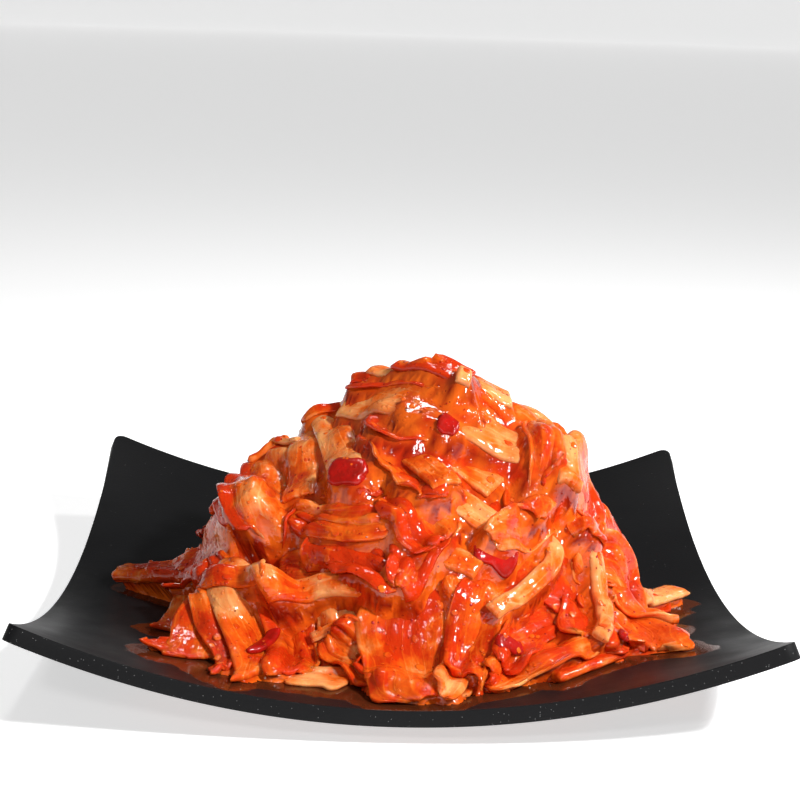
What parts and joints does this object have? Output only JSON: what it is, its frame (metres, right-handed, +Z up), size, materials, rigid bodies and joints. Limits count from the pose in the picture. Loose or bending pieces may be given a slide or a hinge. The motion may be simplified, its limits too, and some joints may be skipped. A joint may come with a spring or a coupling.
{
  "type": "kimchi",
  "caption": "Cut cabbage kimchi heaped on a square dark plate with upturned corners, leaves and stems draped over one another.",
  "frame": {"origin": "middle of the plate's footprint at the level the foot rests on", "axes": "+Z up, -Y towards the side that the picture shows, +X to the right as seen from that side"},
  "size_m": [0.2026, 0.2026, 0.0844],
  "materials": {
    "plate": "satin black melamine with fine pale specks",
    "kimchi": "wet cabbage in chilli sauce"
  },
  "bodies": {
    "root": {"plate": "plate", "kimchi_heap": "kimchi"}
  },
  "joints": []
}
